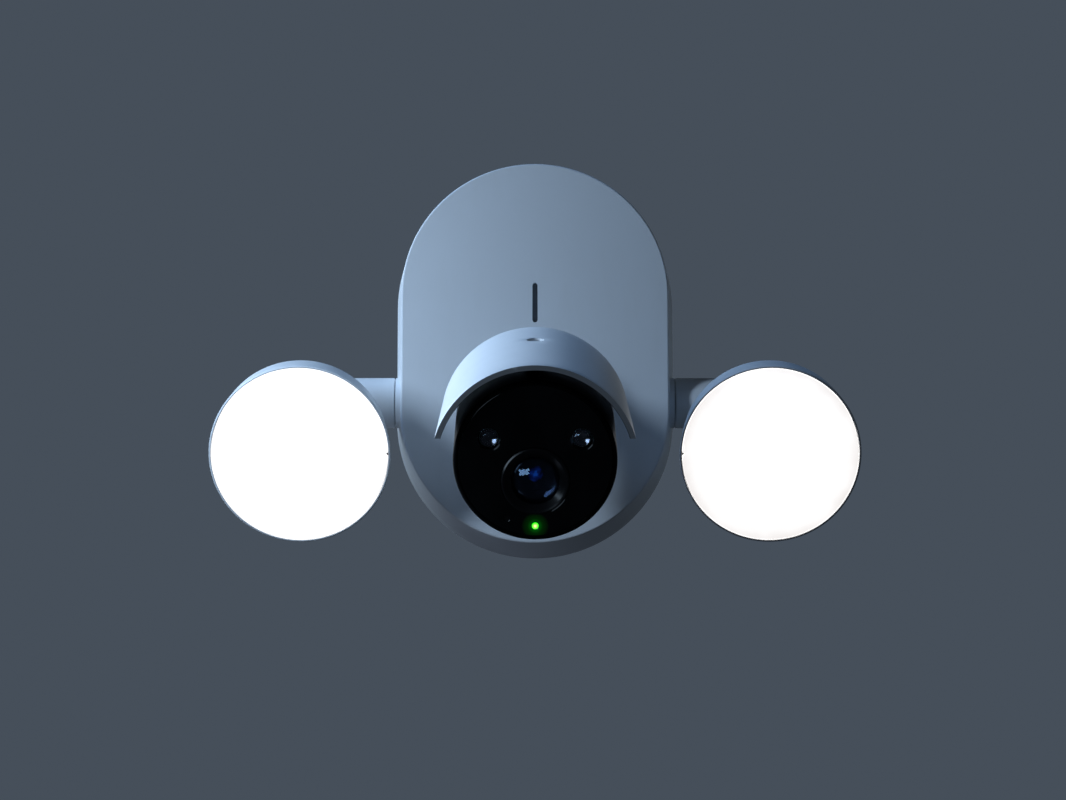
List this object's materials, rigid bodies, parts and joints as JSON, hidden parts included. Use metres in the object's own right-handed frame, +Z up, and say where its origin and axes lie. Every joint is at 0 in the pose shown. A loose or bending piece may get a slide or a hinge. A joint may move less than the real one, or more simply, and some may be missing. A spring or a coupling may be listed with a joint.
{
  "type": "floodlight security camera",
  "caption": "Wall-mounted security floodlight: pill-shaped base, round lamps on side arms and a visored bullet camera on a pan and tilt joint.",
  "frame": {"origin": "middle of the base's back, on the wall plane", "axes": "+Z up, the front faces -Y, the wall is the plane Y = 0 and the object lies at negative Y"},
  "size_m": [0.2726, 0.1809, 0.1781],
  "materials": {
    "white_plastic": "satin",
    "white_cast": "satin powder coat",
    "black_gloss": "polished",
    "black_plastic": "matte",
    "window": "polished",
    "opal": "opal",
    "lens_glass": "coated",
    "clear_lens": "moulded",
    "status_green": "lit",
    "steel": "zinc plated",
    "aluminium": "as cast",
    "pcb_green": "solder mask",
    "pcb_white": "white solder mask",
    "led_phosphor": "phosphor",
    "ir_led": "moulded",
    "rubber": "moulded",
    "foam": "closed-cell foam",
    "grey_plastic": "satin",
    "component": "moulded"
  },
  "bodies": {
    "base": {"wall_bracket": "steel", "wall_gasket": "foam", "back_plate": "white_plastic", "plate_screws": "steel", "plate_seal": "rubber", "base_shell": "white_plastic", "slot_mesh": "black_plastic", "speaker": "black_plastic", "power_board": "pcb_green", "power_parts": "component", "terminal_block": "grey_plastic", "cable_grommet": "rubber", "lock_screw": "steel", "camera_socket": "white_cast", "socket_screws": "steel", "left_arm_washer": "black_plastic", "left_arm_seal": "rubber", "right_arm_washer": "black_plastic", "right_arm_seal": "rubber"},
    "setup_button": {"setup_button": "grey_plastic"},
    "left_arm": {"left_arm": "white_cast", "left_arm_locknut": "steel"},
    "left_lamp": {"left_pivot_pin": "steel", "left_lamp_housing": "white_cast", "left_led_board": "pcb_white", "left_led_chips": "led_phosphor", "left_reflector": "pcb_white", "left_diffuser": "opal", "left_lamp_seal": "rubber"},
    "right_arm": {"right_arm": "white_cast", "right_arm_locknut": "steel"},
    "right_lamp": {"right_pivot_pin": "steel", "right_lamp_housing": "white_cast", "right_led_board": "pcb_white", "right_led_chips": "led_phosphor", "right_reflector": "pcb_white", "right_diffuser": "opal", "right_lamp_seal": "rubber"},
    "camera_yoke": {"pan_block": "aluminium", "pan_pins": "steel"},
    "camera_head": {"tilt_pin": "steel", "rear_shell": "white_plastic", "barrel": "black_gloss", "front_window": "window", "window_gasket": "rubber", "lens_ring": "black_plastic", "lens_barrel": "black_plastic", "front_lens": "lens_glass", "rear_lens": "lens_glass", "sensor_board": "pcb_green", "image_sensor": "component", "ir_board": "pcb_green", "ir_leds": "ir_led", "ir_lenses": "clear_lens", "status_light": "status_green", "light_sensor": "black_plastic", "main_board": "pcb_green", "camera_heat_sink": "aluminium", "visor": "white_plastic", "visor_screw": "steel"}
  },
  "joints": [
    {"name": "left_arm_tilt", "type": "hinge", "parent": "base", "child": "left_arm", "pos_m": [-0.06, -0.0185, -0.0196], "axis": [1, 0, 0], "range_deg": [-40, 30]},
    {"name": "left_lamp_swivel", "type": "hinge", "parent": "left_arm", "child": "left_lamp", "pos_m": [-0.0983, -0.03829, -0.028], "axis": [0, 0.3907, -0.9205], "range_deg": [-15, 35]},
    {"name": "right_arm_tilt", "type": "hinge", "parent": "base", "child": "right_arm", "pos_m": [0.06, -0.0185, -0.0196], "axis": [1, 0, 0], "range_deg": [-40, 30]},
    {"name": "right_lamp_swivel", "type": "hinge", "parent": "right_arm", "child": "right_lamp", "pos_m": [0.0983, -0.03829, -0.028], "axis": [0, -0.3907, 0.9205], "range_deg": [-15, 35]},
    {"name": "camera_pan", "type": "hinge", "parent": "base", "child": "camera_yoke", "pos_m": [0, -0.05, -0.0203], "axis": [0, 0, 1], "range_deg": [-22, 22]},
    {"name": "camera_tilt", "type": "hinge", "parent": "camera_yoke", "child": "camera_head", "pos_m": [0, -0.05, -0.0203], "axis": [1, 0, 0], "range_deg": [-23, 35]},
    {"name": "setup_button_press", "type": "slide", "parent": "camera_head", "child": "setup_button", "axis": [0, -0.3907, 0.9205], "range_m": [0, 0.0006], "stiffness_N_per_m": 400, "springref_m": -0.001}
  ]
}
